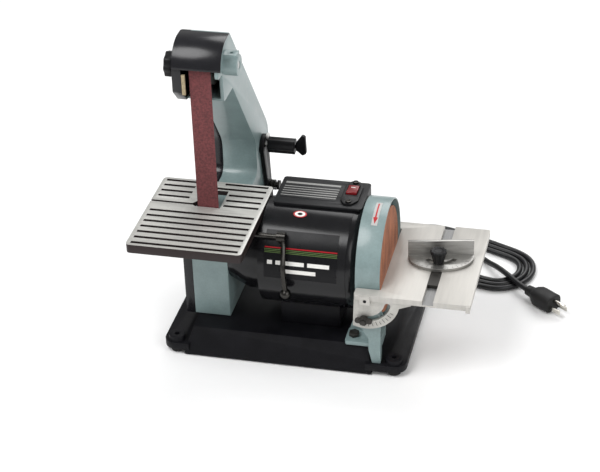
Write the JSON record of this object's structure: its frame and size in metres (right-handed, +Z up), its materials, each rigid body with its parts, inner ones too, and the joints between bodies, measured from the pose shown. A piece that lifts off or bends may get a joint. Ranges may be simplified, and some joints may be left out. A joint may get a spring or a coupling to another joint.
{
  "type": "belt and disc bench sander",
  "caption": "Bench sander with an upright narrow belt and slotted tilting table at one end, and a sanding disc with a tilting mitre table at the other.",
  "frame": {"origin": "on the floor, under the middle of the machine's outer box (cord and plug left out)", "axes": "+Z up, +X from the belt end to the disc end, +Y to the rear"},
  "size_m": [0.4883, 0.3856, 0.3878],
  "materials": {
    "base_black": "satin black paint over cast metal",
    "rubber": "matte",
    "cast_teal": "grey-teal hammered enamel",
    "cover_black": "satin black",
    "seal_tan": "matte felt",
    "knob_black": "satin moulded",
    "belt_grit": "coarse maroon grit",
    "steel": "turned",
    "steel_black": "dark, worn",
    "steel_light": "light grey",
    "wheel_aluminium": "turned",
    "motor_black": "gloss black",
    "laminations": "varnished",
    "switch_black": "fine texture",
    "rocker_red": "gloss",
    "disc_grit": "worn copper-coloured grit",
    "table_aluminium": "milled and scratched",
    "table_cast": "cast and milled",
    "cord_black": "smooth"
  },
  "bodies": {
    "frame": {"base": "base_black", "rubber_foot_1": "rubber", "rubber_foot_2": "rubber", "rubber_foot_3": "rubber", "rubber_foot_4": "rubber", "belt_arm_casting": "cast_teal", "belt_side_cover": "cover_black", "cover_seal": "seal_tan", "head_guard": "cover_black", "sanding_belt": "belt_grit", "upper_axle": "steel", "tension_pivot_pin": "steel", "tension_spring": "steel", "platen": "steel", "platen_bolt": "steel", "motor_housing": "motor_black", "motor_end_bell_right": "motor_black", "motor_end_bell_left": "motor_black", "stator": "laminations", "bearing_left": "steel", "bearing_right": "steel", "motor_saddle": "base_black", "switch_box": "switch_black", "switch_plate": "switch_black", "switch_screw_1": "steel", "switch_screw_2": "steel", "disc_guard": "cast_teal", "disc_table_bracket": "cast_teal", "bracket_bolt": "steel", "disc_table_pivot_pin": "steel", "trunnion_stud": "steel", "belt_table_bracket": "steel_black", "mains_cord": "cord_black", "strain_relief": "cord_black", "plug": "cord_black"},
    "spindle": {"motor_shaft": "steel", "rotor": "steel", "cooling_fan": "motor_black", "drive_wheel": "wheel_aluminium", "disc_plate": "wheel_aluminium", "disc_abrasive": "disc_grit"},
    "upper_pulley": {"upper_wheel": "wheel_aluminium"},
    "tension_link": {"tension_arm": "steel_black", "idler_axle": "steel", "tracking_plate": "steel_light"},
    "idler_pulley": {"idler_wheel": "wheel_aluminium"},
    "tracking_grip": {"tracking_knob": "knob_black"},
    "tracking_wing": {"tracking_lock": "knob_black"},
    "cover_nut": {"cover_knob": "knob_black"},
    "left_table": {"belt_table": "table_aluminium", "belt_table_trunnion": "table_aluminium"},
    "left_table_lock": {"lock_lever": "knob_black"},
    "right_table": {"disc_table": "table_cast", "disc_table_trunnion": "table_cast"},
    "right_table_lock": {"trunnion_wing_nut": "steel_black"},
    "mitre_slider": {"mitre_bar": "steel_black"},
    "mitre_fence": {"mitre_head": "steel"},
    "mitre_clamp": {"mitre_knob": "knob_black"},
    "power_rocker": {"rocker_switch": "rocker_red"}
  },
  "joints": [
    {"name": "motor_spin", "type": "hinge", "parent": "frame", "child": "spindle", "pos_m": [-0.02775, -0.0255, 0.1145], "axis": [1, 0, 0], "continuous": true},
    {"name": "upper_wheel_spin", "type": "hinge", "parent": "frame", "child": "upper_pulley", "pos_m": [-0.12425, -0.0255, 0.3545], "axis": [1, 0, 0], "continuous": true},
    {"name": "tension_swing", "type": "hinge", "parent": "frame", "child": "tension_link", "pos_m": [-0.09775, 0.1265, 0.111], "axis": [1, 0, 0], "range_deg": [0, 5], "stiffness_Nm_per_rad": 8, "springref_deg": -20.05},
    {"name": "idler_wheel_spin", "type": "hinge", "parent": "tension_link", "child": "idler_pulley", "pos_m": [-0.12425, 0.11429, 0.176], "axis": [1, 0, 0], "continuous": true},
    {"name": "tracking_turn", "type": "hinge", "parent": "tension_link", "child": "tracking_grip", "pos_m": [-0.07275, 0.11429, 0.176], "axis": [1, 0, 0], "range_deg": [-180, 180]},
    {"name": "tracking_lock_turn", "type": "hinge", "parent": "tracking_grip", "child": "tracking_wing", "pos_m": [-0.04975, 0.11429, 0.176], "axis": [1, 0, 0], "range_deg": [-90, 90]},
    {"name": "cover_knob_turn", "type": "hinge", "parent": "frame", "child": "cover_nut", "pos_m": [-0.17075, -0.0255, 0.3495], "axis": [1, 0, 0], "range_deg": [0, 360]},
    {"name": "belt_table_tilt", "type": "hinge", "parent": "frame", "child": "left_table", "pos_m": [-0.09075, -0.0755, 0.162], "axis": [1, 0, 0], "range_deg": [0, 45]},
    {"name": "lock_lever_turn", "type": "hinge", "parent": "frame", "child": "left_table_lock", "pos_m": [-0.02775, -0.0755, 0.162], "axis": [1, 0, 0], "range_deg": [-75, 0]},
    {"name": "disc_table_tilt", "type": "hinge", "parent": "frame", "child": "right_table", "pos_m": [0.07425, -0.1055, 0.1085], "axis": [0, 1, 0], "range_deg": [0, 45]},
    {"name": "wing_nut_turn", "type": "hinge", "parent": "frame", "child": "right_table_lock", "pos_m": [0.07286, -0.1115, 0.08204], "axis": [0, 1, 0], "range_deg": [-180, 180]},
    {"name": "mitre_slide", "type": "slide", "parent": "right_table", "child": "mitre_slider", "axis": [0, 1, 0], "range_m": [-0.034, 0.033]},
    {"name": "mitre_swivel", "type": "hinge", "parent": "mitre_slider", "child": "mitre_fence", "pos_m": [0.14665, -0.0125, 0.118], "axis": [0, 0, 1], "range_deg": [-60, 38]},
    {"name": "mitre_knob_turn", "type": "hinge", "parent": "mitre_slider", "child": "mitre_clamp", "pos_m": [0.14665, -0.0315, 0.125], "axis": [0, 0, 1], "range_deg": [0, 360]},
    {"name": "power_rock", "type": "hinge", "parent": "frame", "child": "power_rocker", "pos_m": [0.03675, 0.0095, 0.18], "axis": [1, 0, 0], "range_deg": [0, 8]}
  ],
  "couplings": [
    {"joint": "upper_wheel_spin", "follows": "motor_spin", "ratio": 1},
    {"joint": "idler_wheel_spin", "follows": "motor_spin", "ratio": 1.6667}
  ]
}
